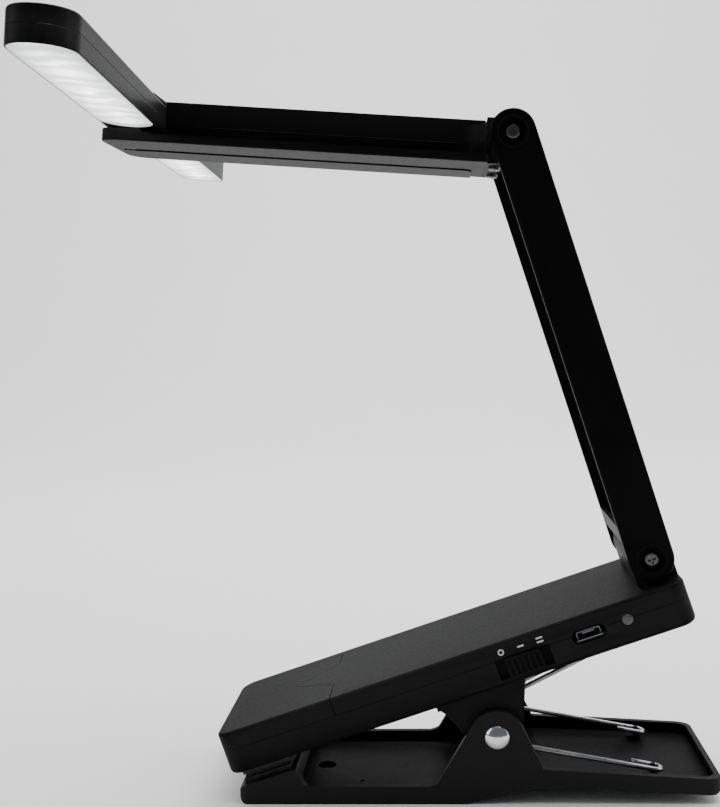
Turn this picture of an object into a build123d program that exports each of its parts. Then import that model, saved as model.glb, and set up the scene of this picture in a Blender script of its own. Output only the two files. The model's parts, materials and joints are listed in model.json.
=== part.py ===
from build123d import *
from math import acos, atan2, cos, degrees, hypot, radians, sin, tan
import os

os.makedirs("parts", exist_ok=True)

# A clip-on folding lamp: a sprung clip carries a flat base, a strut folds on the base,
# an arm folds over the strut, and two lit heads swing out from the arm's tip.
# Millimetres and degrees. +X runs from the clip's mouth to its grip, +Y to the far side,
# +Z up. The origin is the middle of the flat area that the clip rests on.

# ---- Driving dimensions: rest pose --------------------------------------------------
BASE_TILT = 18.35               # how far the base leans back over the jaw
BASE_CORNER = (-38.5, 8.55)     # x, z of the base's lower front edge
CLIP_PIN = (43.5, 20.5)         # x, z of the clip's hinge
STRUT_LEAN = 107.15             # strut's direction from +X
ARM_RISE = 174.85               # arm's direction from +X
NEAR_HEAD_TURN = -3.4           # near head's turn from straight across the arm
FAR_HEAD_TURN = 3.1
NEAR_HEAD_LIFT = 0.95           # its pin leans a little, so its free end stands higher

# ---- Driving dimensions: base, in its own axes (s along, y across, t up) -----------------
BASE_L, BASE_W, BASE_H = 150.0, 50.0, 13.4
BASE_PLAN_R = 5.0
BASE_LIP_R = 1.0
WALL = 1.6
PART_T = 8.0                    # height of the seam between casing and covers
SEAM_GAP = 0.12
SEAM_S = 37.5                   # where the front cover ends
ARROW_TIP_S, ARROW_HALF = 23.3, 10.7
HINGE_S, HINGE_T = 143.3, 21.0
SWITCH_S, SWITCH_T = 97.2, 5.2
SWITCH_SLOT = (17.0, 6.4)
USB_S, USB_T = 118.0, 7.1
LIGHT_S, LIGHT_T, LIGHT_R = 130.2, 7.6, 1.8
BOARD_T = 4.6
CASING_SCREWS = [(s, side * y) for s, y in ((28, 19.5), (60, 20), (142.5, 20.6)) for side in (-1, 1)]
BRACKET_SCREWS = [(s, side * 13) for s in (74, 90) for side in (-1, 1)]

# ---- Driving dimensions: clip ----------------------------------------------------------
JAW_W, JAW_WALL, JAW_FLOOR = 49.0, 2.0, 1.6
JAW_LEFT, JAW_RIGHT = -35.9, 111.2
JAW_EAR_R = 8.4
BRACKET_EAR_R = 8.0
BRACKET_OUT, BRACKET_THICK = 22.0, 2.1
PIN_R, PIN_HEAD_R = 2.4, 3.7
PAD_GAP = 0.1
UPPER_PAD, LOWER_PAD = 2.05, 1.95
WIRE = 1.5
COIL_R = 3.5                    # middle of the wire
LOWER_LEG_Y, UPPER_LEG_Y = 17.5, 3.3
LOWER_LEG_END = (92.0, 8.0)
UPPER_LEG_RISE = 8.3            # against the base's length
UPPER_LEG_END_S = 133.0

# ---- Driving dimensions: strut and arm ---------------------------------------------------
STRUT_L = 134.4                 # hinge to hinge
STRUT_W, RAIL = 39.6, 1.8
STRUT_R = 6.85                  # rail's half depth and end radius
BOSS_R, BOSS_IN = 4.5, 0.8
BARREL_R = 6.35
BARREL_HALF = 16.6
AXLE_R, AXLE_BORE = 2.5, 2.55
RECESS_R, RECESS_DEEP = 3.7, 1.5
PLATE_TOP, PLATE_LOW = -7.0, -9.5
PLATE_START, PLATE_END = 6.6, 124.6
SPINE_HALF, SPINE_TOP, SPINE_END = 0.8, 5.9, 108.5
SHELL_SEAM = -1.4
FLARE_R, FLARE_WALL, FLARE_TOP = 8.5, 7.8, 4.2

# ---- Driving dimensions: heads -----------------------------------------------------------
HEAD_PIN = (114.8, 9.4)
HEAD_W, HEAD_REACH, HEAD_CORNER = 16.6, 106.4, 7.8
HEAD_LOW, HEAD_TOP, HEAD_SEAM = -5.4, 3.3, -1.1
HEAD_WALL = 1.2
WINDOW_START = 17.0
WINDOW_INSET = 0.4
HEAD_PIN_R, HEAD_BORE = 2.0, 2.05
LED_COUNT = 9


# ---- Frames of the moving bodies -----------------------------------------------------------
def tilted(x, z, angle):
    """Frame at (x, 0, z) whose x axis points at angle from +X, with y kept to the far side."""
    return Location((x, 0, z), (0, -angle, 0))


BASE = tilted(*BASE_CORNER, BASE_TILT)
base_cos, base_sin = cos(radians(BASE_TILT)), sin(radians(BASE_TILT))


def base_to_part(s, t):
    """x and z of a point given in the base's s and t."""
    x = BASE_CORNER[0] + s * base_cos - t * base_sin
    return x, BASE_CORNER[1] + s * base_sin + t * base_cos


def part_to_base(x, z):
    """s and t of a point given by its x and z."""
    dx, dz = x - BASE_CORNER[0], z - BASE_CORNER[1]
    return dx * base_cos + dz * base_sin, dz * base_cos - dx * base_sin


LOW_HINGE = base_to_part(HINGE_S, HINGE_T)
TOP_HINGE = (
    LOW_HINGE[0] + STRUT_L * cos(radians(STRUT_LEAN)),
    LOW_HINGE[1] + STRUT_L * sin(radians(STRUT_LEAN)),
)
STRUT = tilted(*LOW_HINGE, STRUT_LEAN)
# The arm's own axes: u to the tip, v to the near side, z up from the plate
ARM = tilted(*TOP_HINGE, ARM_RISE - 180) * Rot(0, 0, 180)
PIN_S, PIN_T = part_to_base(*CLIP_PIN)


# ---- Building blocks -----------------------------------------------------------------------
def plan_block(outline, low, high):
    """Block with the given plan, between two heights."""
    return extrude(Pos(0, 0, low) * outline, amount=high - low)


def side_block(outline, low, high):
    """Block with the given side view (x, z), between two y values."""
    return extrude(Plane.XZ.offset(-high) * outline, amount=high - low)


def box(x0, x1, y0, y1, z0, z1):
    """Box between two corners."""
    return Pos((x0 + x1) / 2, (y0 + y1) / 2, (z0 + z1) / 2) * Box(x1 - x0, y1 - y0, z1 - z0)


def rod_y(x, z, r, low, high):
    """Cylinder along y."""
    return Pos(x, (low + high) / 2, z) * Rot(90, 0, 0) * Cylinder(r, high - low)


def rod_z(x, y, r, low, high):
    """Cylinder along z."""
    return Pos(x, y, (low + high) / 2) * Cylinder(r, high - low)


def shape(*points):
    """Flat outline through the given points."""
    return make_face(Polyline(*points, close=True))


def rounded(outline, corners):
    """Rounds the named corners of a flat outline: (x, y, radius) each."""
    for x, y, radius in corners:
        vertex = outline.vertices().sort_by_distance((x, y, 0))[0]
        outline = fillet(vertex, radius)
    return outline


def touch_point(px, pz, cx, cz, r, turn):
    """Where the line from a point touches a circle; turn picks the side."""
    reach = hypot(px - cx, pz - cz)
    angle = atan2(pz - cz, px - cx) + turn * acos(r / reach)
    return cx + r * cos(angle), cz + r * sin(angle)


def save(node, piece):
    """Writes one sub-part."""
    export_step(piece, f"parts/{node}.step")


# ---- Clip: lower jaw -----------------------------------------------------------------------
NOSE_RISE = tan(radians(BASE_TILT))
PAD_SPACE = (UPPER_PAD + LOWER_PAD + PAD_GAP) / base_cos


def nose_top(x):
    """Height of the nose's sloping top, which faces the base's underside."""
    return BASE_CORNER[1] + (x - BASE_CORNER[0]) * NOSE_RISE - PAD_SPACE


NOSE_FRONT, NOSE_BACK = -34.4, -18.2
WINDOW_Z = 5.45
RIM_LEFT, RIM_RIGHT = (57.3, 10.7), (JAW_RIGHT, 7.5)
TRAY_UNDER_LEFT, TRAY_UNDER_RIGHT = (57.6, 5.3), (JAW_RIGHT, 2.6)


def jaw_side():
    """Outline of the jaw's side walls."""
    pin_x, pin_z = CLIP_PIN
    front_foot = (25.2, 6.4)
    front = touch_point(*front_foot, pin_x, pin_z, JAW_EAR_R, -1)
    back = touch_point(*RIM_LEFT, pin_x, pin_z, JAW_EAR_R, 1)
    body = shape(
        (JAW_LEFT, 0), (JAW_LEFT, 4.0), (NOSE_FRONT, nose_top(NOSE_FRONT)),
        (NOSE_BACK, nose_top(NOSE_BACK)), (-15.6, WINDOW_Z), (22.6, WINDOW_Z), front_foot,
        front, (pin_x, pin_z), back, RIM_LEFT, RIM_RIGHT, TRAY_UNDER_RIGHT,
        TRAY_UNDER_LEFT, (48.6, 4.2), (33.5, 0),
    )
    outline = body + Pos(pin_x, pin_z) * Circle(JAW_EAR_R)
    return rounded(outline, [
        (JAW_LEFT, 0, 2.4), (JAW_LEFT, 4.0, 0.8), (NOSE_BACK, nose_top(NOSE_BACK), 1.2),
        (-15.6, WINDOW_Z, 2.5), (front_foot[0], front_foot[1], 2.0),
        (JAW_RIGHT, 7.5, 1.0), (JAW_RIGHT, 2.6, 2.4), (48.6, 4.2, 10.0), (33.5, 0, 10.0),
    ])


def jaw_pocket():
    """What is hollowed out between the jaw's side walls."""
    inner = JAW_W / 2 - JAW_WALL
    outline = shape(
        (-16.6, JAW_FLOOR + 0.4), (33.0, JAW_FLOOR + 0.4), (48.0, 5.9), (57.4, 6.8),
        (JAW_RIGHT - 2.2, 4.3), (JAW_RIGHT - 2.2, 45), (-16.6, 45),
    )
    pocket = side_block(outline, -inner, inner)
    left = pocket.edges().filter_by(Axis.Z).group_by(Axis.X)[0]
    right = pocket.edges().filter_by(Axis.Z).group_by(Axis.X)[-1]
    return fillet(left + right, 3.5)


def spring_catch(side):
    """Block and peg on the tray's floor that hold one hooked end of the spring."""
    y = side * (LOWER_LEG_Y - 1.9)
    block = box(LOWER_LEG_END[0] - 3.6, LOWER_LEG_END[0] + 0.8, y - 1.6, y + 1.6, 4.4, 6.6)
    block = fillet(block.edges().filter_by(Axis.Z), 1.0)
    peg = rod_z(LOWER_LEG_END[0] - 0.6, y + side * 0.15, 0.75, 6, 9.3)
    return block + peg


def make_lower_jaw():
    """Tray-shaped moulding with a sloping nose, the pin's two ears and the grip tray."""
    half = JAW_W / 2
    jaw = side_block(jaw_side(), -half, half)
    plan = rounded(
        shape((JAW_LEFT, -half), (JAW_RIGHT, -half), (JAW_RIGHT, half), (JAW_LEFT, half)),
        [(JAW_LEFT, y, 3.0) for y in (-half, half)] + [(JAW_RIGHT, y, 4.8) for y in (-half, half)],
    )
    jaw = (jaw & plan_block(plan, -1, 50)) - jaw_pocket()
    jaw -= rod_y(*CLIP_PIN, PIN_R + 0.02, -half - 1, half + 1)
    jaw -= rod_z(-11.2, 1.5, 2.9, -1, 5)                                # drain hole
    jaw -= rod_z(1.3, -11.5, 0.7, JAW_FLOOR + 0.1, 5)                   # gate mark
    return jaw + spring_catch(-1) + spring_catch(1)


def ribbed_pad(length, width, thick, rib=0.6, pitch=2.4):
    """Rubber pad with ribs along x; its flat back is at z = 0 and its ribs point up."""
    pad = box(0, length, -width / 2, width / 2, 0, thick - rib)
    count = int((width - rib) / pitch)
    for i in range(count):
        y = (i - (count - 1) / 2) * pitch
        pad += box(0.4, length - 0.4, y - 0.6, y + 0.6, 0, thick)
    return pad


def make_lower_pad():
    """Pad on the jaw's nose."""
    slope = (NOSE_BACK - NOSE_FRONT - 2.0) / base_cos
    place = Location((NOSE_FRONT + 0.4, 0, nose_top(NOSE_FRONT + 0.4)), (0, -BASE_TILT, 0))
    return place * ribbed_pad(slope, JAW_W - 5, LOWER_PAD)


def make_clip_pin():
    """Hinge pin with a domed head at each end."""
    half = JAW_W / 2
    pin = rod_y(*CLIP_PIN, PIN_R, -half - 0.3, half + 0.3)
    dome_high, dome_r = 1.6, 5.1
    for side in (-1, 1):
        ball = Pos(CLIP_PIN[0], side * (half + dome_high - dome_r), CLIP_PIN[1]) * Sphere(dome_r)
        low, high = sorted((side * (half + 0.02), side * (half + dome_high + 1)))
        pin += ball & rod_y(*CLIP_PIN, PIN_HEAD_R, low, high)
    return pin


def wire_along(path):
    """Round wire swept along a path of straight runs and arcs."""
    start = Plane(origin=path @ 0, z_dir=path % 0)
    return sweep(start * Circle(WIRE / 2), path=path)


def lower_leg(side):
    """Straight leg from the coil to the tray, ending in a hook turned to the middle."""
    pin_x, pin_z = CLIP_PIN
    end_x, end_z = LOWER_LEG_END
    start_x, start_z = touch_point(end_x, end_z, pin_x, pin_z, COIL_R, -1)
    run = hypot(end_x - start_x, end_z - start_z)
    slope = degrees(atan2(end_z - start_z, end_x - start_x))
    place = Location((start_x, side * LOWER_LEG_Y, start_z), (0, -slope, 0))
    turn_r = 1.8
    back = (run - 7.0, -side * 2 * turn_r)
    path = Wire([
        Edge.make_line((0, 0, 0), (run, 0, 0)),
        Edge.make_three_point_arc((run, 0, 0), (run + turn_r, -side * turn_r, 0), (run, back[1], 0)),
        Edge.make_line((run, back[1], 0), (back[0], back[1], 0)),
    ])
    return place * wire_along(path)


def upper_loop():
    """The two upper legs and the bar that joins them, which press on the base."""
    bend = 2.0
    turn = radians(BASE_TILT + UPPER_LEG_RISE)
    top = (CLIP_PIN[0] - COIL_R * sin(turn), CLIP_PIN[1] + COIL_R * cos(turn))
    run = (UPPER_LEG_END_S - PIN_S) / cos(radians(UPPER_LEG_RISE))
    place = Location((top[0], 0, top[1]), (0, -degrees(turn), 0))
    corners = [(0, -UPPER_LEG_Y), (run, -UPPER_LEG_Y), (run, UPPER_LEG_Y), (0, UPPER_LEG_Y)]
    path = FilletPolyline(*corners, radius=bend)
    return place * wire_along(Wire(path.edges()))


def coil(side):
    """Close-wound coil around the clip pin."""
    turns = 11
    pitch = (LOWER_LEG_Y - UPPER_LEG_Y) / turns
    profile = Sketch()
    for i in range(turns + 1):
        profile += Pos(COIL_R, UPPER_LEG_Y + i * pitch) * Circle(WIRE / 2)
    coil_about_z = revolve(Plane.XZ * profile, Axis.Z)
    return Pos(CLIP_PIN[0], 0, CLIP_PIN[1]) * Rot(-90 * side, 0, 0) * coil_about_z


def make_torsion_spring():
    """Double spring: two coils, two hooked lower legs and one upper loop."""
    spring = upper_loop()
    for side in (-1, 1):
        spring += coil(side)
        spring += lower_leg(side)
    return spring


# ---- Base ------------------------------------------------------------------------------------
def base_plan(inset=0.0):
    """The base's plan, with its origin at the front end's middle."""
    return Pos(BASE_L / 2, 0) * RectangleRounded(
        BASE_L - 2 * inset, BASE_W - 2 * inset, max(BASE_PLAN_R - inset, 1.0)
    )


def wall_cuts():
    """Slot, socket recess and light hole, cut through the near wall."""
    near = -BASE_W / 2
    long, high = SWITCH_SLOT
    slot = box(SWITCH_S - long / 2, SWITCH_S + long / 2, near - 1, near + WALL + 0.2,
               SWITCH_T - high / 2, SWITCH_T + high / 2)
    port = side_block(Pos(USB_S, USB_T) * SlotOverall(10.6, 4.3), near - 1, near + WALL + 0.2)
    light = rod_y(LIGHT_S, LIGHT_T, LIGHT_R + 0.08, near - 1, near + WALL + 0.2)
    return slot + port + light


def make_base_lower_casing():
    """Tub that holds the cell and the board, with the spring's seat under it."""
    tub = plan_block(base_plan(), 0, PART_T - SEAM_GAP / 2)
    tub = fillet(tub.edges().group_by(Axis.Z)[0], 1.4)
    tub -= plan_block(base_plan(WALL), WALL, PART_T + 1)
    for s, y in CASING_SCREWS:
        tub += rod_z(s, y, 3.1, WALL, PART_T - SEAM_GAP / 2)
        tub -= rod_z(s, y, 1.25, -1, PART_T + 1)
        tub -= rod_z(s, y, 2.7, -1, 2.0)
    for s, y in BRACKET_SCREWS:
        tub += rod_z(s, y, 2.6, WALL, BOARD_T - 0.3)
        tub -= rod_z(s, y, 1.02, -1, BOARD_T - 1.0)
    seat = box(UPPER_LEG_END_S - 5, UPPER_LEG_END_S + 3, -7, 7, -2.6, 0.5)
    return tub + seat - wall_cuts()


def arrow_split(grow):
    """Plan of everything behind the front cover, with the arrow that points into it."""
    half = BASE_W / 2 + 5
    return shape(
        (SEAM_S + grow, -half), (BASE_L + 5, -half), (BASE_L + 5, half), (SEAM_S + grow, half),
        (SEAM_S + grow, ARROW_HALF), (ARROW_TIP_S + grow, 0), (SEAM_S + grow, -ARROW_HALF),
    )


def cover_shell():
    """Both top covers as one shell, before they are parted."""
    low = PART_T + SEAM_GAP / 2
    shell = plan_block(base_plan(), low, BASE_H)
    shell = fillet(shell.edges().group_by(Axis.Z)[-1], BASE_LIP_R)
    shell -= plan_block(base_plan(WALL), low - 1, BASE_H - WALL)
    for s, y in CASING_SCREWS:
        shell += rod_z(s, y, 2.6, low, BASE_H - WALL)
        shell -= rod_z(s, y, 1.12, low - 1, BASE_H - WALL - 0.4)
    return shell


LUG_FOOT = (137.6, 148.2, 16.4)     # s range and half width of the flange under the cover
LUG_NECK = (138.6, 147.2, 15.2)


def make_base_top_cover():
    """Long cover with the arrow edge and the opening for the hinge lug."""
    cover = cover_shell() & plan_block(arrow_split(SEAM_GAP), 0, 20)
    s0, s1, half = LUG_NECK
    return cover - box(s0 - 0.1, s1 + 0.1, -half - 0.1, half + 0.1, 10, 20) - wall_cuts()


def make_base_front_cover():
    """Short cover in front of the arrow edge."""
    return cover_shell() - plan_block(arrow_split(-SEAM_GAP), 0, 20)


def make_hinge_lug():
    """Lug that stands on the base between the strut's cheeks, with a flange under the cover."""
    block = side_block(Pos(HINGE_S, HINGE_T) * Circle(BARREL_R), -BARREL_HALF, BARREL_HALF)
    block += box(HINGE_S - BARREL_R, HINGE_S + BARREL_R, -BARREL_HALF, BARREL_HALF, BASE_H, HINGE_T)
    block = fillet(block.edges().filter_by(Axis.Z), 0.3)
    s0, s1, half = LUG_NECK
    f0, f1, flange = LUG_FOOT
    low = BASE_H - WALL
    block += box(s0, s1, -half, half, low - 0.6, BASE_H + 0.1)
    block += box(f0, f1, -flange, flange, low - 1.5, low - 0.1)
    return block - rod_y(HINGE_S, HINGE_T, AXLE_BORE, -BASE_W, BASE_W)


def bracket_ear():
    """Side view of one of the bracket's ears, in s and t."""
    front, back = (71.4, -9.0), (94.6, -3.0)
    low_front = touch_point(*front, PIN_S, PIN_T, BRACKET_EAR_R, 1)
    low_back = touch_point(*back, PIN_S, PIN_T, BRACKET_EAR_R, -1)
    ear = shape((66.4, 0), (69.0, -3.4), front, low_front, (PIN_S, PIN_T), low_back, back, (95.2, 0))
    ear = rounded(ear, [(69.0, -3.4, 2.0), (front[0], front[1], 3.0)])
    return ear + Pos(PIN_S, PIN_T) * Circle(BRACKET_EAR_R)


def make_clip_bracket():
    """Channel under the base whose two ears turn on the clip pin."""
    bracket = box(67.0, 95.2, -BRACKET_OUT, BRACKET_OUT, -2.0, -0.02)
    for side in (-1, 1):
        low, high = sorted((side * BRACKET_OUT, side * (BRACKET_OUT - BRACKET_THICK)))
        bracket += side_block(bracket_ear(), low, high) & box(60, 110, low, high, -40, -0.02)
    bracket -= rod_y(PIN_S, PIN_T, PIN_R + 0.06, -BASE_W, BASE_W)
    for s, y in BRACKET_SCREWS:
        bracket -= rod_z(s, y, 1.2, -5, 1)
    return bracket


def make_upper_pad():
    """Pad on the base's underside, over the jaw's nose."""
    return Pos(3.6, 0, 0) * Rot(180, 0, 0) * ribbed_pad(17.2, JAW_W - 5, UPPER_PAD)


def pan_screw(head_r, head_high, shank_r, length):
    """Cross-head screw standing on its shank, with its head's underside at z = 0."""
    head = Cylinder(head_r, head_high, align=(Align.CENTER, Align.CENTER, Align.MIN))
    head = fillet(head.edges().group_by(Axis.Z)[-1], head_high * 0.5)
    shank = Cylinder(shank_r, length, align=(Align.CENTER, Align.CENTER, Align.MAX))
    arm = box(-head_r * 0.6, head_r * 0.6, -head_r * 0.14, head_r * 0.14, head_high * 0.35, 9)
    return head + shank - arm - Rot(0, 0, 90) * arm


def group(pieces):
    """Several separate solids in one sub-part."""
    return Compound([solid for piece in pieces for solid in piece.solids()])


def make_casing_screws():
    """Screws from below that hold the covers."""
    screw = Rot(180, 0, 0) * pan_screw(2.3, 1.3, 1.1, 9.0)
    return group(Pos(s, y, 1.98) * screw for s, y in CASING_SCREWS)


def make_bracket_screws():
    """Screws that hold the clip bracket under the base."""
    screw = Rot(180, 0, 0) * pan_screw(2.1, 1.2, 1.0, 5.0)
    return group(Pos(s, y, -2.02) * screw for s, y in BRACKET_SCREWS)


def make_battery_cell():
    """Flat rechargeable cell with rounded long edges."""
    cell = box(6, 66, -16, 16, WALL + 0.1, WALL + 5.6)
    return fillet(cell.edges().filter_by(Axis.X), 2.0)


def make_circuit_board():
    """Board beside the cell, notched for the switch and the light."""
    near = -BASE_W / 2 + WALL
    board = box(84.5, 137.5, near + 0.6, 12, BOARD_T, BOARD_T + 1.2)
    board -= box(SWITCH_S - 15, SWITCH_S + 15, near - 1, near + 6.8, 0, 20)
    board += box(76, 84.5, -8, 8, BOARD_T, BOARD_T + 1.2)
    return board


def make_usb_socket():
    """Metal shell of the charging socket with its tongue."""
    mouth = -BASE_W / 2 + 1.4
    body = RectangleRounded(7.5, 2.5, 0.6)
    hollow = RectangleRounded(6.9, 1.9, 0.45)
    place = Pos(USB_S, USB_T)
    socket = side_block(place * body, mouth, mouth + 5.6)
    socket -= side_block(place * hollow, mouth - 1, mouth + 4.8)
    lip = box(USB_S - 3.9, USB_S + 3.9, mouth - 1.0, mouth + 0.6, USB_T - 1.35, USB_T - 1.0)
    tongue = box(USB_S - 1.9, USB_S + 1.9, mouth + 0.6, mouth + 5.2, USB_T + 0.1, USB_T + 0.6)
    return socket + lip + tongue


def make_charge_light():
    """Light pipe with a domed end."""
    near = -BASE_W / 2
    pipe = rod_y(LIGHT_S, LIGHT_T, LIGHT_R, near - 0.3, near + 5.0)
    pipe = fillet(pipe.edges().group_by(Axis.Y)[0], 0.8)
    return pipe


def make_switch_body():
    """Slide switch in the board's notch, with the channel that its knob's tongue runs in."""
    near = -BASE_W / 2 + WALL
    body = box(SWITCH_S - 6.5, SWITCH_S + 6.5, near + 2.6, near + 6.4, SWITCH_T - 2.4, SWITCH_T + 2.4)
    return body - box(SWITCH_S - 4.2, SWITCH_S + 4.2, near + 1, near + 5.0,
                      SWITCH_T - 1.1, SWITCH_T + 1.1)


def make_switch_knob():
    """Ribbed knob in the slot, with its backing plate and the tongue that moves the switch."""
    near = -BASE_W / 2
    proud = 1.1
    knob = box(-5.65, 5.65, near - proud, near + WALL + 0.3, -3.0, 3.0)
    knob = fillet(knob.edges().filter_by(Axis.Y), 0.7)
    knob = fillet(knob.edges().group_by(Axis.Y)[0], 0.3)
    for i in range(6):
        x = (i - 2.5) * 1.7
        knob -= box(x - 0.4, x + 0.4, near - proud - 1, near - proud + 0.5, -2.3, 2.3)
    inner = near + WALL
    plate = box(-11.2, 11.2, inner + 0.25, inner + 1.0, -3.4, 3.3)
    tongue = box(-1.1, 1.1, inner + 0.9, inner + 4.4, -0.9, 0.9)
    return Pos(SWITCH_S, 0, SWITCH_T) * (knob + plate + tongue)


def make_switch_marks():
    """Three raised marks over the switch: off, low and high."""
    near = -BASE_W / 2
    off, low, high = 91.3, 97.5, 103.5
    line = RectangleRounded(2.1, 0.5, 0.2)
    marks = [Pos(off, 10.3) * (Circle(0.95) - Circle(0.55)), Pos(low, 10.3) * line]
    marks += [Pos(high, 10.3 + dz) * line for dz in (-0.6, 0.6)]
    return group(side_block(mark, near - 0.12, near) for mark in marks)


# ---- Strut -----------------------------------------------------------------------------------
def rail_outline(grow=0.0):
    """Side view of a rail: a long bar with round ends."""
    return Pos(STRUT_L / 2, 0) * SlotCenterToCenter(STRUT_L, 2 * (STRUT_R + grow))


def make_strut_frame():
    """Two rails joined at the lower end, open along the middle."""
    half = STRUT_W / 2
    inner = half - RAIL
    frame = None
    for side in (-1, 1):
        low, high = sorted((side * inner, side * half))
        rail = side_block(rail_outline(), low, high)
        outer = rail.faces().sort_by(Axis.Y)[0 if side < 0 else -1]
        rail = fillet(outer.edges(), 0.7)
        for x in (0, STRUT_L):
            a, b = sorted((side * (inner - BOSS_IN), side * (inner + 0.2)))
            rail += rod_y(x, 0, BOSS_R, a, b)
            c, d = sorted((side * (half - 0.3), side * (half + 0.25)))
            rail += rod_y(x, 0, 4.9, c, d) - rod_y(x, 0, 4.3, c - 1, d + 1)
        frame = rail if frame is None else frame + rail
    frame += box(6.9, 8.4, -inner - 0.2, inner + 0.2, -STRUT_R + 0.3, STRUT_R)
    frame += box(6.9, 12.4, -inner - 0.2, inner + 0.2, STRUT_R - 1.4, STRUT_R)
    for x in (0, STRUT_L):
        frame -= rod_y(x, 0, 1.2, -half - 1, half + 1)
        for side in (-1, 1):
            low, high = sorted((side * (half - RECESS_DEEP), side * (half + 1)))
            frame -= rod_y(x, 0, RECESS_R, low, high)
    return frame


def make_axle(x):
    """Hollow axle clamped between the strut's cheeks by a screw at each end."""
    reach = STRUT_W / 2 - RAIL - BOSS_IN
    return rod_y(x, 0, AXLE_R, -reach, reach) - rod_y(x, 0, 1.12, -reach - 1, reach + 1)


def make_washers(x):
    """Friction washers between the cheeks and the part that turns between them."""
    reach = STRUT_W / 2 - RAIL - BOSS_IN
    rings = []
    for side in (-1, 1):
        low, high = sorted((side * (BARREL_HALF + 0.06), side * (reach - 0.02)))
        rings.append(rod_y(x, 0, BOSS_R, low, high) - rod_y(x, 0, AXLE_R + 0.02, low - 1, high + 1))
    return group(rings)


def make_pivot_screws(x):
    """Cross-head screws in the cheeks' recesses."""
    seat = STRUT_W / 2 - RECESS_DEEP + 0.01
    screw = pan_screw(2.2, 1.25, 1.08, 8.0)
    return group(Pos(x, side * seat, 0) * Rot(-90 * side, 0, 0) * screw for side in (-1, 1))


# ---- Heads' places on the arm ------------------------------------------------------------------
def head_place(side, turn, lift=0.0):
    """Frame of a head in the arm's axes; side is 1 for the near head and -1 for the far one."""
    return Location((HEAD_PIN[0], side * HEAD_PIN[1], 0), (0, 0, side * (90 - turn))) * Rot(0, -lift, 0)


HEAD_PLACES = {
    "near_head": head_place(1, NEAR_HEAD_TURN, NEAR_HEAD_LIFT),
    "far_head": head_place(-1, FAR_HEAD_TURN),
}


def at_head_pins(radius, low, high):
    """A cylinder along each head's pin."""
    return [place * rod_z(0, 0, radius, low, high) for place in HEAD_PLACES.values()]


# ---- Arm, in its own axes (u, v, z) ------------------------------------------------------------
def flare_plan():
    """Plan of the spine's root: it widens in two hollow curves to the hinge barrel's width."""
    centre_u = FLARE_WALL + FLARE_R
    outline = shape(
        (PLATE_START - 1.5, -BARREL_HALF), (FLARE_WALL, -BARREL_HALF), (FLARE_WALL, -SPINE_HALF - FLARE_R),
        (centre_u, -SPINE_HALF - FLARE_R), (centre_u, SPINE_HALF + FLARE_R),
        (FLARE_WALL, SPINE_HALF + FLARE_R), (FLARE_WALL, BARREL_HALF), (PLATE_START - 1.5, BARREL_HALF),
    )
    for side in (-1, 1):
        outline -= Pos(centre_u, side * (SPINE_HALF + FLARE_R)) * Circle(FLARE_R)
    return outline


def spine_plan():
    """Plan of the thin spine."""
    return shape(
        (FLARE_WALL, -SPINE_HALF), (SPINE_END, -SPINE_HALF),
        (SPINE_END, SPINE_HALF), (FLARE_WALL, SPINE_HALF),
    )


def groove_cut():
    """Shallow groove along the plate's underside that bends to the far side by the hinge."""
    wide, bend = 4.4, 5.0
    start = 14.0
    low, high = PLATE_LOW - 1, PLATE_LOW + 0.5
    straight = box(start, PLATE_END - 4, -wide / 2, wide / 2, low, high)
    ring = Circle(bend + wide / 2) - Circle(bend - wide / 2)
    quarter = ring & Pos(-10, 10) * Rectangle(20, 20)
    turn = plan_block(Pos(start, -bend) * quarter, low, high)
    across = box(start - bend - wide / 2, start - bend + wide / 2, -STRUT_W, -bend, low, high)
    return straight + turn + across


ARM_SCREWS = [(4.3, -9.0), (4.3, 9.0)]
TIP_SCREW = (119.6, 0.0)


def make_arm_lower_shell():
    """Bottom plate with its raised tip, the neck below the hinge and the spine's lower half."""
    half = STRUT_W / 2
    outline = rounded(
        shape((PLATE_START, -half), (PLATE_END, -half), (PLATE_END, half), (PLATE_START, half)),
        [(PLATE_END, y, 7.0) for y in (-half, half)] + [(PLATE_START, y, 1.0) for y in (-half, half)],
    )
    plate = plan_block(outline, PLATE_LOW, PLATE_TOP)
    plate = fillet(plate.edges().group_by(Axis.Z)[0], 0.5)
    plate -= groove_cut()
    plate += plan_block(outline, PLATE_TOP - 0.5, -5.8) & box(111, 130, -half, half, -8, 0)
    plate += plan_block(outline, PLATE_TOP - 0.5, -6.7) & box(108, 111.5, -half, half, -8, 0)
    neck_top = PLATE_TOP - 0.05
    neck = shape(
        (PLATE_START + 0.5, PLATE_LOW + 0.05), (3.0, -9.2), (0.4, neck_top), (PLATE_START + 0.5, neck_top)
    )
    plate += side_block(neck, -BARREL_HALF, BARREL_HALF)
    plate += plan_block(spine_plan() + flare_plan(), PLATE_TOP - 0.5, SHELL_SEAM - SEAM_GAP / 2) & box(
        FLARE_WALL - 1.8, 200, -half, half, -10, 10
    )
    plate -= rod_y(0, 0, BARREL_R + 0.1, -BARREL_HALF - 0.1, BARREL_HALF + 0.1)
    for u, v in ARM_SCREWS:
        plate -= rod_z(u, v, 1.12, -12, 0)
    plate -= rod_z(*TIP_SCREW, 1.12, -12, 0)
    plate -= rod_z(*TIP_SCREW, 2.1, -12, PLATE_LOW + 1.2)
    for hole in at_head_pins(HEAD_PIN_R + 0.01, PLATE_LOW + 0.8, 0):
        plate -= hole
    return plate


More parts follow.
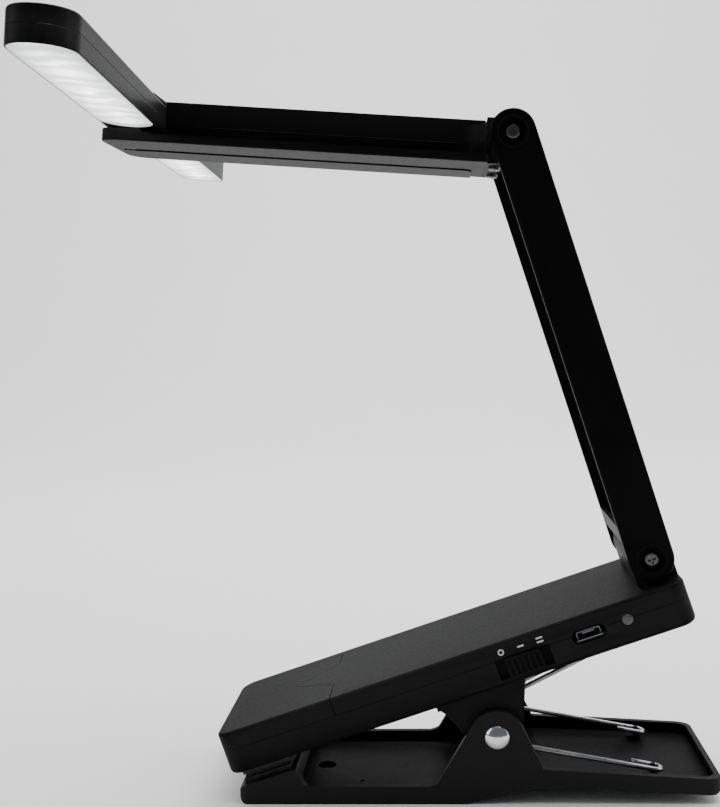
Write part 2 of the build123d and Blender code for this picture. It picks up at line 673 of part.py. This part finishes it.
def make_arm_upper_shell():
    """Hinge barrel, root and upper half of the spine."""
    barrel = side_block(Circle(BARREL_R - 0.02), -BARREL_HALF, BARREL_HALF)
    foot, top = PLATE_TOP + 0.02, BARREL_R - 0.02
    web = shape((0, foot), (5.9, foot), (5.9, FLARE_TOP), (3.0, 5.5), (0, top))
    barrel += side_block(web, -BARREL_HALF, BARREL_HALF)
    root = plan_block(flare_plan(), SHELL_SEAM + SEAM_GAP / 2, FLARE_TOP)
    spine = plan_block(spine_plan(), SHELL_SEAM + SEAM_GAP / 2, SPINE_TOP)
    shell = barrel + root + spine
    shell -= rod_y(0, 0, AXLE_BORE, -BASE_W, BASE_W)
    for u, v in ARM_SCREWS:
        shell -= rod_z(u, v, 1.02, -12, -3.6)
    return shell


def make_tip_cap():
    """Cap over the two head pins, standing on a thin web between the heads."""
    plan = RectangleRounded(13.2, 34.0, 5.0)
    cap = plan_block(Pos(115.4, 0) * plan, HEAD_TOP + 0.4, 6.3)
    cap = fillet(cap.edges().group_by(Axis.Z)[-1], 0.8)
    cap += box(SPINE_END + 0.15, 121.0, -0.75, 0.75, -5.75, HEAD_TOP + 0.6)
    cap += rod_z(*TIP_SCREW, 2.2, -5.75, HEAD_TOP + 0.6)
    cap -= rod_z(*TIP_SCREW, 1.0, -7, 2.0)
    for hole in at_head_pins(HEAD_PIN_R + 0.01, 0, 5.5):
        cap -= hole
    return cap


def make_head_pins():
    """Pins that the heads turn on."""
    return group(at_head_pins(HEAD_PIN_R, PLATE_LOW + 0.85, 5.4))


def make_arm_screws():
    """Screws from below: two at the neck and one under the tip cap."""
    screw = Rot(180, 0, 0) * pan_screw(1.9, 0.9, 1.0, 4.6)
    tip = Rot(180, 0, 0) * pan_screw(1.9, 0.9, 0.98, 8.0)
    pieces = [Pos(u, v, PLATE_LOW - 0.02) * screw for u, v in ARM_SCREWS]
    return group(pieces + [Pos(*TIP_SCREW, PLATE_LOW + 1.18) * tip])


# ---- Heads, each in its own axes (x from its pin, y across, z up) ----------------------------------
def head_plan(inset=0.0, start=0.0):
    """Plan of a head: round at the pin, with rounded corners at the free end."""
    half = HEAD_W / 2 - inset
    end = HEAD_REACH - inset
    bar = rounded(
        shape((start, -half), (end, -half), (end, half), (start, half)),
        [(end, -half, HEAD_CORNER - inset), (end, half, HEAD_CORNER - inset)],
    )
    return bar + Pos(start, 0) * Circle(half)


def make_head_upper_shell():
    """Top shell of a head."""
    low = HEAD_SEAM + SEAM_GAP / 2
    shell = plan_block(head_plan(), low, HEAD_TOP)
    shell = fillet(shell.edges().group_by(Axis.Z)[-1], 0.8)
    shell -= plan_block(head_plan(HEAD_WALL, WINDOW_START), low - 1, HEAD_TOP - HEAD_WALL)
    return shell - rod_z(0, 0, HEAD_BORE, -10, 10)


def make_head_lower_shell():
    """Bottom shell of a head, open for the diffuser, which sits on a ledge."""
    shell = plan_block(head_plan(), HEAD_LOW, HEAD_SEAM - SEAM_GAP / 2)
    shell = fillet(shell.edges().group_by(Axis.Z)[0], 0.25)
    shell -= plan_block(head_plan(WINDOW_INSET, WINDOW_START), HEAD_LOW - 1, HEAD_LOW + 1.2)
    shell -= plan_block(head_plan(WINDOW_INSET + 0.8, WINDOW_START), HEAD_LOW, 5)
    return shell - rod_z(0, 0, HEAD_BORE, -10, 10)


def make_head_diffuser():
    """Milky window of a head."""
    pane = plan_block(head_plan(WINDOW_INSET + 0.05, WINDOW_START), HEAD_LOW + 0.02, HEAD_LOW + 1.18)
    return pane


def make_head_light_board():
    """Strip that carries the light sources."""
    return box(WINDOW_START - 2, HEAD_REACH - 4, -5.6, 5.6, -0.9, 0.1)


def make_head_leds():
    """Row of light sources under the board."""
    first, last = WINDOW_START + 2, HEAD_REACH - 9
    step = (last - first) / (LED_COUNT - 1)
    places = [first + i * step for i in range(LED_COUNT)]
    return group(box(x - 1.7, x + 1.7, -1.4, 1.4, -2.1, -0.92) for x in places)


# ---- Sub-parts ---------------------------------------------------------------------------------
PLAIN = {
    "lower_jaw": make_lower_jaw,
    "lower_pad": make_lower_pad,
    "clip_pin": make_clip_pin,
    "torsion_spring": make_torsion_spring,
}
ON_BASE = {
    "base_lower_casing": make_base_lower_casing,
    "base_top_cover": make_base_top_cover,
    "base_front_cover": make_base_front_cover,
    "hinge_lug": make_hinge_lug,
    "clip_bracket": make_clip_bracket,
    "upper_pad": make_upper_pad,
    "casing_screws": make_casing_screws,
    "bracket_screws": make_bracket_screws,
    "battery_cell": make_battery_cell,
    "circuit_board": make_circuit_board,
    "usb_socket": make_usb_socket,
    "charge_light": make_charge_light,
    "switch_body": make_switch_body,
    "switch_knob": make_switch_knob,
    "switch_marks": make_switch_marks,
}
ON_ARM = {
    "arm_lower_shell": make_arm_lower_shell,
    "arm_upper_shell": make_arm_upper_shell,
    "tip_cap": make_tip_cap,
    "head_pins": make_head_pins,
    "arm_screws": make_arm_screws,
}
ON_HEAD = {
    "upper_shell": make_head_upper_shell,
    "lower_shell": make_head_lower_shell,
    "diffuser": make_head_diffuser,
    "light_board": make_head_light_board,
    "leds": make_head_leds,
}
PIVOTS = {"lower_pivot": 0, "upper_pivot": STRUT_L}

for node, make in PLAIN.items():
    save(node, make())
for node, make in ON_BASE.items():
    save(node, BASE * make())
save("strut_frame", STRUT * make_strut_frame())
for pivot, x in PIVOTS.items():
    save(f"{pivot}_axle", STRUT * make_axle(x))
    save(f"{pivot}_washers", STRUT * make_washers(x))
    save(f"{pivot}_screws", STRUT * make_pivot_screws(x))
for node, make in ON_ARM.items():
    save(node, ARM * make())
for head, place in HEAD_PLACES.items():
    for piece, make in ON_HEAD.items():
        save(f"{head}_{piece}", ARM * place * make())
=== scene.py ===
import json
import math

import bmesh
import bpy
from mathutils import Matrix, Vector


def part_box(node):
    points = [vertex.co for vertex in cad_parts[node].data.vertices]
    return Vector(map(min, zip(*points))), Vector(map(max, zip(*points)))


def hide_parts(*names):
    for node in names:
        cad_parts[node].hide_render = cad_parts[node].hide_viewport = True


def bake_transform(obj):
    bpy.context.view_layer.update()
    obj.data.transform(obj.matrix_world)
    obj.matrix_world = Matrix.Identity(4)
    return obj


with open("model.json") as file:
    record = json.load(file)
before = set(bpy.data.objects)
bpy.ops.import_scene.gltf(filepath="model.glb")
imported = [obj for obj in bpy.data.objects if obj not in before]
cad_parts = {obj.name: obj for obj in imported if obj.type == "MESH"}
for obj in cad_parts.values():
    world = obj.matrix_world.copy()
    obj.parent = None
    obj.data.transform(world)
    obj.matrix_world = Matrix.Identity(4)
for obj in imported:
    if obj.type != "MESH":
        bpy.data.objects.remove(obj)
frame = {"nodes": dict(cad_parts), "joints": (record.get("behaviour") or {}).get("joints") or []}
nodes = frame["nodes"]
joints = {j["name"]: j for j in frame["joints"]}


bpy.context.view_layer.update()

MM = 0.001
PIN = Vector(joints["clip_open"]["pos_m"])  # the clip's pin, the centre of its spring

# What a noise node really covers, out of 0 to 1.
NOISE_LOW, NOISE_HIGH = 0.3, 0.7
# Colour sockets of a Mix node.
MIX_A, MIX_B, MIX_RESULT = 6, 7, 2


# ---- Node-material helpers -------------------------------------------------------------
class Paint:
    """Builds one node material around a Principled shader."""

    def __init__(self, name):
        self.material = bpy.data.materials.new(name)
        self.material.use_nodes = True
        self.tree = self.material.node_tree
        self.tree.nodes.clear()
        self.output = self.node("ShaderNodeOutputMaterial")
        self.shader = self.node("ShaderNodeBsdfPrincipled")
        self.link(self.shader.outputs["BSDF"], self.output.inputs["Surface"])
        self.place = self.node("ShaderNodeTexCoord").outputs["Object"]

    def node(self, kind, **values):
        made = self.tree.nodes.new(kind)
        for key, value in values.items():
            setattr(made, key, value)
        return made

    def link(self, source, target):
        self.tree.links.new(source, target)

    def set(self, **values):
        for key, value in values.items():
            self.shader.inputs[key.replace("_", " ")].default_value = value

    def stretched(self, scale):
        """Object coordinates scaled by axis, for brushed or ribbed looks."""
        mapping = self.node("ShaderNodeMapping")
        mapping.inputs["Scale"].default_value = scale
        self.link(self.place, mapping.inputs["Vector"])
        return mapping.outputs["Vector"]

    def noise(self, scale, detail=2.0, place=None, rough=0.5):
        noise = self.node("ShaderNodeTexNoise")
        noise.inputs["Scale"].default_value = scale
        noise.inputs["Detail"].default_value = detail
        noise.inputs["Roughness"].default_value = rough
        self.link(place or self.place, noise.inputs["Vector"])
        return noise.outputs["Fac"]

    def cells(self, scale, place=None):
        cells = self.node("ShaderNodeTexVoronoi")
        cells.inputs["Scale"].default_value = scale
        self.link(place or self.place, cells.inputs["Vector"])
        return cells.outputs["Distance"]

    def ranged(self, value, low, high, start=0.0, end=1.0):
        """value, clamped between start and end and spread from low to high."""
        spread = self.node("ShaderNodeMapRange")
        spread.inputs["From Min"].default_value = start
        spread.inputs["From Max"].default_value = end
        spread.inputs["To Min"].default_value = low
        spread.inputs["To Max"].default_value = high
        self.link(value, spread.inputs["Value"])
        return spread.outputs["Result"]

    def vary(self, low, high, scale, detail=2.0, place=None):
        """Noise that wanders between low and high."""
        return self.ranged(self.noise(scale, detail, place), low, high, NOISE_LOW, NOISE_HIGH)

    def math(self, operation, a, b=0.0):
        made = self.node("ShaderNodeMath", operation=operation)
        for socket, value in zip(made.inputs, (a, b)):
            if isinstance(value, (int, float)):
                socket.default_value = value
            else:
                self.link(value, socket)
        return made.outputs["Value"]

    def mixed(self, factor, a, b):
        """Colour between a and b; each is a colour or a socket."""
        mix = self.node("ShaderNodeMix", data_type="RGBA")
        self.link(factor, mix.inputs["Factor"])
        for index, value in ((MIX_A, a), (MIX_B, b)):
            if isinstance(value, tuple):
                mix.inputs[index].default_value = (*value, 1.0)
            else:
                self.link(value, mix.inputs[index])
        return mix.outputs[MIX_RESULT]

    def bump(self, height, depth, strength=1.0, edge=0.0):
        """Surface relief of the given depth in metres, with edges softened by the given radius."""
        bump = self.node("ShaderNodeBump")
        bump.inputs["Strength"].default_value = strength
        bump.inputs["Distance"].default_value = depth
        self.link(height, bump.inputs["Height"])
        if edge:
            bevel = self.node("ShaderNodeBevel", samples=4)
            bevel.inputs["Radius"].default_value = edge
            self.link(bevel.outputs["Normal"], bump.inputs["Normal"])
        self.link(bump.outputs["Normal"], self.shader.inputs["Normal"])

    def colour(self, socket):
        self.link(socket, self.shader.inputs["Base Color"])

    def roughness(self, socket):
        self.link(socket, self.shader.inputs["Roughness"])


def moulded(name, dark, light, rough, grain=3200.0, depth=0.00003, edge=0.00025):
    """Fine-grained moulded plastic with handling marks, and edges painted lighter: partly wear,
    partly a painted highlight.
    """
    p = Paint(name)
    tone = p.mixed(p.vary(0.0, 1.0, 38.0, 4.0), dark, light)
    # Convex edges, found by their pointiness, are painted lighter: partly a painted edge highlight,
    # partly wear.
    pointiness = p.node("ShaderNodeNewGeometry").outputs["Pointiness"]
    edge_highlight_and_wear = tuple(min(1.0, c * 1.7 + 0.004) for c in light)
    p.colour(p.mixed(p.ranged(pointiness, 0.0, 1.0, 0.52, 0.60), tone, edge_highlight_and_wear))
    p.roughness(p.vary(rough - 0.03, rough + 0.05, 900.0, 4.0, p.stretched((1.0, 1.0, 2.0))))
    grains = p.math("ADD", p.cells(grain), p.math("MULTIPLY", p.noise(grain * 1.9, 2.0), 0.6))
    p.bump(grains, depth, 0.45, edge)
    p.set(IOR=1.1, Specular_IOR_Level=0.5)
    return p.material


def metal(name, colour, rough, stretch=(1.0, 1.0, 1.0), scale=900.0, depth=0.000012, dulled=0.7):
    """Bare metal with fine drawn or turned marks."""
    p = Paint(name)
    lines = p.noise(scale, 3.0, p.stretched(stretch))
    dull = tuple(c * dulled for c in colour)
    p.colour(p.mixed(p.ranged(p.noise(160.0, 3.0), 0.0, 1.0, 0.35, 0.7), colour, dull))
    p.roughness(p.ranged(lines, rough - 0.06, rough + 0.1, NOISE_LOW, NOISE_HIGH))
    p.bump(lines, depth, 0.6, 0.0001)
    p.set(Metallic=1.0)
    return p.material


def rubber(name):
    """Matt rubber with a dusty bloom."""
    p = Paint(name)
    clean, dusty = (0.011, 0.011, 0.012), (0.035, 0.034, 0.033)
    p.colour(p.mixed(p.ranged(p.noise(420.0, 4.0), 0.0, 1.0, 0.4, 0.75), clean, dusty))
    p.roughness(p.vary(0.72, 0.9, 900.0))
    p.bump(p.cells(2600.0), 0.00004, 0.5, 0.00015)
    return p.material


def lit_window(name, head):
    """Milky lit window: brighter over each light source, dimmer between them and at the rim."""
    joint = joints[f"{head}_swing"]
    pin = Vector(joint["pos_m"])
    low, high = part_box(f"{head}_diffuser")
    up = Vector(joint["axis"]).normalized()
    along = (low + high) / 2 - pin
    along = (along - up * along.dot(up)).normalized()
    p = Paint(name)
    offset = p.node("ShaderNodeVectorMath", operation="SUBTRACT")
    p.link(p.place, offset.inputs[0])
    offset.inputs[1].default_value = pin

    def component(direction):
        """How far a point lies from the head's pin in one direction."""
        dot = p.node("ShaderNodeVectorMath", operation="DOT_PRODUCT")
        p.link(offset.outputs["Vector"], dot.inputs[0])
        dot.inputs[1].default_value = direction
        return dot.outputs["Value"]

    run = component(along)
    across = component(up.cross(along))

    # One bright band over each LED, a little displaced, strongest along the middle.
    wander = p.vary(-0.0035, 0.0035, 90.0)
    place = p.math("ADD", p.math("SUBTRACT", run, LED_START), wander)
    phase = p.math("MULTIPLY", place, 2 * math.pi / LED_PITCH)
    wave = p.ranged(p.math("COSINE", phase), 0.0, 1.0, -0.6, 1.0)
    middle = p.ranged(p.math("ABSOLUTE", across), 1.0, 0.0, 0.001, WINDOW_HALF)
    blotch = p.ranged(p.noise(150.0, 2.0), 0.35, 1.0, 0.38, 0.62)
    spots = p.math("MULTIPLY", p.math("MULTIPLY", wave, middle), blotch)

    # The light falls off towards both ends of the window.
    root = p.ranged(run, 0.5, 1.0, 0.010, 0.020)
    tip = p.ranged(run, 1.0, 0.34, 0.084, 0.1055)
    even = p.ranged(middle, 0.16, 0.42)
    glow = p.math("ADD", p.math("MULTIPLY", spots, 0.75), even)
    glow = p.math("MULTIPLY", p.math("MULTIPLY", root, tip), glow)
    haze = p.vary(0.97, 1.03, 700.0, 3.0)
    power = p.math("MULTIPLY", p.math("MULTIPLY", glow, haze), WINDOW_POWER)
    p.link(power, p.shader.inputs["Emission Strength"])
    p.link(p.mixed(glow, (0.93, 0.97, 1.0), (1.0, 0.995, 0.97)), p.shader.inputs["Emission Color"])
    # The base colour is painted lighter where the window glows: painted light in the surface colour,
    # on top of the emission.
    p.colour(p.mixed(glow, (0.42, 0.43, 0.44), (0.62, 0.62, 0.61)))
    p.roughness(p.vary(0.3, 0.42, 1500.0))
    p.bump(p.noise(3000.0), 0.00001, 0.4, 0.0002)
    return p.material


def glowing(name, colour, strength):
    """A small light source's gel."""
    p = Paint(name)
    p.colour(p.mixed(p.noise(1800.0, 2.0), colour, tuple(c * 0.8 for c in colour)))
    p.roughness(p.ranged(p.noise(900.0), 0.2, 0.35))
    p.bump(p.noise(2500.0), 0.00001)
    p.set(Emission_Color=(*colour, 1.0), Emission_Strength=strength)
    return p.material


def frosted(name):
    """Clear light pipe with a frosted end."""
    p = Paint(name)
    p.colour(p.mixed(p.noise(900.0, 3.0), (0.09, 0.095, 0.095), (0.17, 0.175, 0.175)))
    p.roughness(p.vary(0.18, 0.4, 1600.0))
    p.bump(p.noise(2600.0), 0.00002, 0.6, 0.0002)
    p.set(Transmission_Weight=0.55, IOR=1.49)
    return p.material


def circuit(name):
    """Solder mask with copper tracks showing through."""
    p = Paint(name)
    tracks = p.ranged(p.cells(420.0), 0.0, 1.0, 0.42, 0.47)
    p.colour(p.mixed(tracks, (0.008, 0.075, 0.024), (0.03, 0.19, 0.06)))
    p.roughness(p.ranged(p.noise(600.0), 0.25, 0.4))
    p.bump(tracks, 0.00003, 0.6)
    return p.material


def printed(name, colour):
    """Printed or enamelled surface with a slightly broken edge."""
    p = Paint(name)
    faded = tuple(c * 0.72 for c in colour)
    p.colour(p.mixed(p.ranged(p.noise(2600.0, 3.0), 0.0, 1.0, 0.45, 0.8), colour, faded))
    p.roughness(p.ranged(p.noise(1200.0), 0.4, 0.6))
    p.bump(p.noise(3500.0), 0.00001, 0.5)
    return p.material


# ---- Materials on the CAD nodes -----------------------------------------------------------
BLACK = ((0.0035, 0.0035, 0.0038), (0.006, 0.006, 0.0064))
CLIP_BLACK = ((0.0045, 0.0045, 0.0048), (0.008, 0.008, 0.0084))
STRUT_BLACK = ((0.003, 0.003, 0.0032), (0.005, 0.005, 0.0053))
KNOB_BLACK = ((0.005, 0.005, 0.0053), (0.009, 0.009, 0.0094))
BRACKET_BLACK = ((0.003, 0.003, 0.003), (0.005, 0.005, 0.005))
shell = moulded("satin_black_shell", *BLACK, 0.46)
cover = moulded("satin_black_cover", *BLACK, 0.48, grain=3800.0, depth=0.00002)
clip_plastic = moulded("clip_black", *CLIP_BLACK, 0.46, grain=2600.0, depth=0.00004)
strut_plastic = moulded("strut_black", *STRUT_BLACK, 0.42)
knob_plastic = moulded("knob_black", *KNOB_BLACK, 0.32, depth=0.00001, edge=0.00015)
head_plastic = moulded("head_black", *BLACK, 0.33, grain=4200.0, depth=0.000015, edge=0.0003)
bracket_paint = moulded("bracket_black", *BRACKET_BLACK, 0.5, grain=1900.0)
pads = rubber("pad_rubber")
chrome = metal("polished_pin", (0.78, 0.78, 0.8), 0.14, scale=1200.0, depth=0.000004, dulled=0.85)
wire = metal("drawn_wire", (0.4, 0.4, 0.42), 0.3, scale=600.0, depth=0.000002)
zinc = metal("zinc_screw", (0.36, 0.36, 0.38), 0.34, scale=1400.0)
oxide = metal("black_oxide_screw", (0.11, 0.11, 0.115), 0.3, scale=1400.0)
port_metal = metal("port_shell", (0.17, 0.17, 0.18), 0.36, (1.0, 6.0, 1.0))
plated = metal("plated_shell", (0.5, 0.5, 0.52), 0.25, (1.0, 6.0, 1.0))
foil = metal("cell_foil", (0.72, 0.72, 0.75), 0.3, scale=240.0, depth=0.0002)
nylon = printed("washer_nylon", (0.62, 0.6, 0.55))
white = printed("mark_white", (0.62, 0.62, 0.62))
board_white = printed("board_white", (0.8, 0.8, 0.8))

LOOKS = {
    "lower_jaw": clip_plastic,
    "lower_pad": pads,
    "upper_pad": pads,
    "clip_pin": chrome,
    "base_lower_casing": shell,
    "base_top_cover": cover,
    "base_front_cover": cover,
    "hinge_lug": shell,
    "clip_bracket": bracket_paint,
    "casing_screws": zinc,
    "bracket_screws": zinc,
    "battery_cell": foil,
    "circuit_board": circuit("circuit_green"),
    "usb_socket": port_metal,
    "charge_light": frosted("light_pipe"),
    "switch_body": knob_plastic,
    "switch_knob": knob_plastic,
    "switch_marks": white,
    "strut_frame": strut_plastic,
    "lower_pivot_axle": plated,
    "upper_pivot_axle": plated,
    "lower_pivot_washers": nylon,
    "upper_pivot_washers": nylon,
    "lower_pivot_screws": oxide,
    "upper_pivot_screws": oxide,
    "arm_lower_shell": shell,
    "arm_upper_shell": cover,
    "tip_cap": cover,
    "head_pins": plated,
    "arm_screws": oxide,
}
# The windows' bright bands: the first one's distance from the head's pin, and their step.
LED_START, LED_PITCH = 0.019, 0.0098
WINDOW_HALF = 0.0078
WINDOW_POWER = 4.2
GEL = (1.0, 0.93, 0.62)
for head in ("near_head", "far_head"):
    LOOKS[f"{head}_upper_shell"] = head_plastic
    LOOKS[f"{head}_lower_shell"] = head_plastic
    LOOKS[f"{head}_diffuser"] = lit_window(f"{head}_window", head)
    LOOKS[f"{head}_light_board"] = board_white
    LOOKS[f"{head}_leds"] = glowing(f"{head}_gel", GEL, 4.0)

for node, look in LOOKS.items():
    nodes[node].data.materials.clear()
    nodes[node].data.materials.append(look)


# ---- Torsion spring: one continuous wire, in mm about the clip's pin ------------------------------
WIRE_R, COIL_R = 0.75, 3.5
COIL_START, COIL_END, TURNS = 3.3, 17.5, 8  # sideways, from the middle out
STEPS_PER_TURN = 26
UPPER_RISE = math.radians(26.65)  # of the legs that press up on the base
LOWER_FALL = math.radians(-10.45)  # of the legs that press down on the jaw
UPPER_LEG, UPPER_BEND = 59.0, 2.0
LOWER_LEG, HOOK_R = 50.0, 1.8


def heading(angle):
    """Direction in the lamp's side plane."""
    return Vector((math.cos(angle), 0, math.sin(angle)))


def linked(name, data):
    """Put a mesh, a lamp or a camera into the scene as an object."""
    made = bpy.data.objects.new(name, data)
    bpy.context.scene.collection.objects.link(made)
    return made


def smooth_object(name, mesh):
    """Turn a bmesh into a smooth-shaded object."""
    data = bpy.data.meshes.new(name)
    mesh.to_mesh(data)
    mesh.free()
    for face in data.polygons:
        face.use_smooth = True
    return linked(name, data)


def tube(name, path, radius, sides=14):
    """Smooth round tube along a dense path, with closed ends."""
    mesh = bmesh.new()
    rings = []
    direction = (path[1] - path[0]).normalized()
    normal = direction.orthogonal().normalized()
    for i, point in enumerate(path):
        ahead = path[min(i + 1, len(path) - 1)] - path[max(i - 1, 0)]
        direction = ahead.normalized()
        normal = (normal - direction * normal.dot(direction)).normalized()
        side = direction.cross(normal)
        ring = []
        for k in range(sides):
            a = 2 * math.pi * k / sides
            ring.append(mesh.verts.new(point + radius * (math.cos(a) * normal + math.sin(a) * side)))
        rings.append(ring)
    for a, b in zip(rings, rings[1:]):
        for k in range(sides):
            mesh.faces.new((a[k], a[(k + 1) % sides], b[(k + 1) % sides], b[k]))
    mesh.faces.new(list(reversed(rings[0])))
    mesh.faces.new(rings[-1])
    bmesh.ops.recalc_face_normals(mesh, faces=mesh.faces)
    return smooth_object(name, mesh)


def half_spring():
    """Points of the spring's far half, from the middle of its upper loop to its hook."""
    # The upper leg touches the coil's top and the lower leg its underside.
    top = math.pi / 2 + UPPER_RISE
    bottom = LOWER_FALL - math.pi / 2 + 2 * math.pi
    ahead, down = heading(UPPER_RISE), heading(LOWER_FALL)
    root = COIL_R * heading(top) + Vector((0, COIL_START, 0))

    # Half of the loop that joins the two upper legs, rounded into the leg.
    far = root + ahead * UPPER_LEG
    points = [Vector((far.x, y, far.z)) for y in (0.0, 0.6, COIL_START - UPPER_BEND)]
    for k in range(1, 9):
        a = math.pi / 2 * k / 8
        sideways = Vector((0, UPPER_BEND * (math.sin(a) - 1), 0))
        points.append(far + sideways - ahead * UPPER_BEND * (1 - math.cos(a)))
    points += [root + ahead * UPPER_LEG * f for f in (0.8, 0.5, 0.2, 0.03)]

    # The coil.
    total = bottom - top + 2 * math.pi * TURNS
    steps = STEPS_PER_TURN * TURNS
    for k in range(steps + 1):
        y = COIL_START + (COIL_END - COIL_START) * k / steps
        points.append(COIL_R * heading(top + total * k / steps) + Vector((0, y, 0)))

    # The lower leg, with a hook that turns back towards the middle.
    heel = points[-1].copy()
    points += [heel + down * LOWER_LEG * f for f in (0.03, 0.3, 0.6, 0.9, 1.0)]
    turn = heel + down * LOWER_LEG
    for k in range(1, 11):
        a = math.pi * k / 10
        inward = Vector((0, HOOK_R * (1 - math.cos(a)), 0))
        points.append(turn + down * HOOK_R * math.sin(a) - inward)
    points += [turn - down * d - Vector((0, 2 * HOOK_R, 0)) for d in (2.0, 4.5, 7.0)]
    return points


far_half = [PIN + p * MM for p in half_spring()]
near_half = [Vector((p.x, -p.y, p.z)) for p in reversed(far_half[1:])]
spring = tube("wound_spring", near_half + far_half, WIRE_R * MM)
spring.data.materials.append(wire)
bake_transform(spring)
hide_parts("torsion_spring")


# ---- Stage, lights and camera ------------------------------------------------------------------
FLOOR_FRONT, FLOOR_BACK, COVE_R = -1.6, 0.9, 0.7
COVE_HALF, COVE_TOP = 2.2, 2.6


def cove():
    """Pale floor that curves up into a backdrop."""
    profile = [(FLOOR_FRONT, 0), (FLOOR_BACK, 0)]
    for k in range(1, 13):
        a = math.pi / 2 * k / 12
        profile.append((FLOOR_BACK + COVE_R * math.sin(a), COVE_R - COVE_R * math.cos(a)))
    profile.append((FLOOR_BACK + COVE_R, COVE_TOP))
    mesh = bmesh.new()
    left, right = ([mesh.verts.new((x, y, z)) for y, z in profile] for x in (-COVE_HALF, COVE_HALF))
    for k in range(len(profile) - 1):
        mesh.faces.new((left[k], right[k], right[k + 1], left[k + 1]))
    made = smooth_object("cove", mesh)
    p = Paint("pale_paper")
    p.colour(p.mixed(p.noise(6.0, 3.0), (0.86, 0.86, 0.86), (0.9, 0.9, 0.9)))
    p.roughness(p.ranged(p.noise(90.0), 0.65, 0.8))
    p.bump(p.noise(900.0), 0.00004, 0.2)
    made.data.materials.append(p.material)


def area_light(name, place, target, size, power):
    """Soft rectangular light aimed at a point."""
    lamp = bpy.data.lights.new(name, "AREA")
    lamp.shape = "RECTANGLE"
    lamp.size, lamp.size_y = size
    lamp.energy = power
    holder = linked(name, lamp)
    holder.location = place
    holder.rotation_euler = (Vector(target) - Vector(place)).to_track_quat("-Z", "Y").to_euler()


cove()
CENTRE = (0.03, 0.0, 0.1)
area_light("top_softbox", (0.1, 0.15, 1.15), CENTRE, (1.1, 0.9), 13.0)
area_light("left_softbox", (-1.0, -0.25, 0.6), CENTRE, (0.7, 0.9), 4.0)
area_light("right_softbox", (1.05, 0.1, 0.5), CENTRE, (0.6, 0.9), 6.0)
area_light("backdrop_light", (0.0, 0.5, 1.5), (0.0, 1.5, 0.5), (2.4, 0.6), 38.0)

WORLD_COLOUR, WORLD_STRENGTH = (0.9, 0.95, 1.0, 1.0), 0.16
world = bpy.data.worlds.new("soft_room")
world.use_nodes = True
background = world.node_tree.nodes["Background"].inputs
background["Color"].default_value = WORLD_COLOUR
background["Strength"].default_value = WORLD_STRENGTH
bpy.context.scene.world = world

# Where the photograph was taken from. At no yaw, pitch or roll the camera looks along +Y.
CAMERA_AT = (0.030022, -0.356112, 0.146722)
CAMERA_YAW, CAMERA_PITCH, CAMERA_ROLL = (math.radians(a) for a in (3.0586, 3.9405, -1.3087))
CAMERA_LENS, CAMERA_SHIFT = 49.97, (-0.0328, -0.0054)


def camera_turn():
    """Camera's rotation from its yaw, pitch and roll."""
    cy, sy = math.cos(CAMERA_YAW), math.sin(CAMERA_YAW)
    cp, sp = math.cos(CAMERA_PITCH), math.sin(CAMERA_PITCH)
    cr, sr = math.cos(CAMERA_ROLL), math.sin(CAMERA_ROLL)
    turn = Matrix(((cy, sy, 0), (-sy, cy, 0), (0, 0, 1)))
    level = Matrix(((1, 0, 0), (0, 0, -1), (0, 1, 0)))
    nod = Matrix(((1, 0, 0), (0, cp, -sp), (0, sp, cp)))
    bank = Matrix(((cr, -sr, 0), (sr, cr, 0), (0, 0, 1)))
    flip = Matrix(((1, 0, 0), (0, -1, 0), (0, 0, -1)))  # Blender's cameras look along -Z
    return ((bank @ nod @ level @ turn).transposed() @ flip).to_euler()


camera_data = bpy.data.cameras.new("camera")
camera_data.lens = CAMERA_LENS
camera_data.shift_x, camera_data.shift_y = CAMERA_SHIFT
camera = linked("camera", camera_data)
camera.location = CAMERA_AT
camera.rotation_euler = camera_turn()
bpy.context.scene.camera = camera
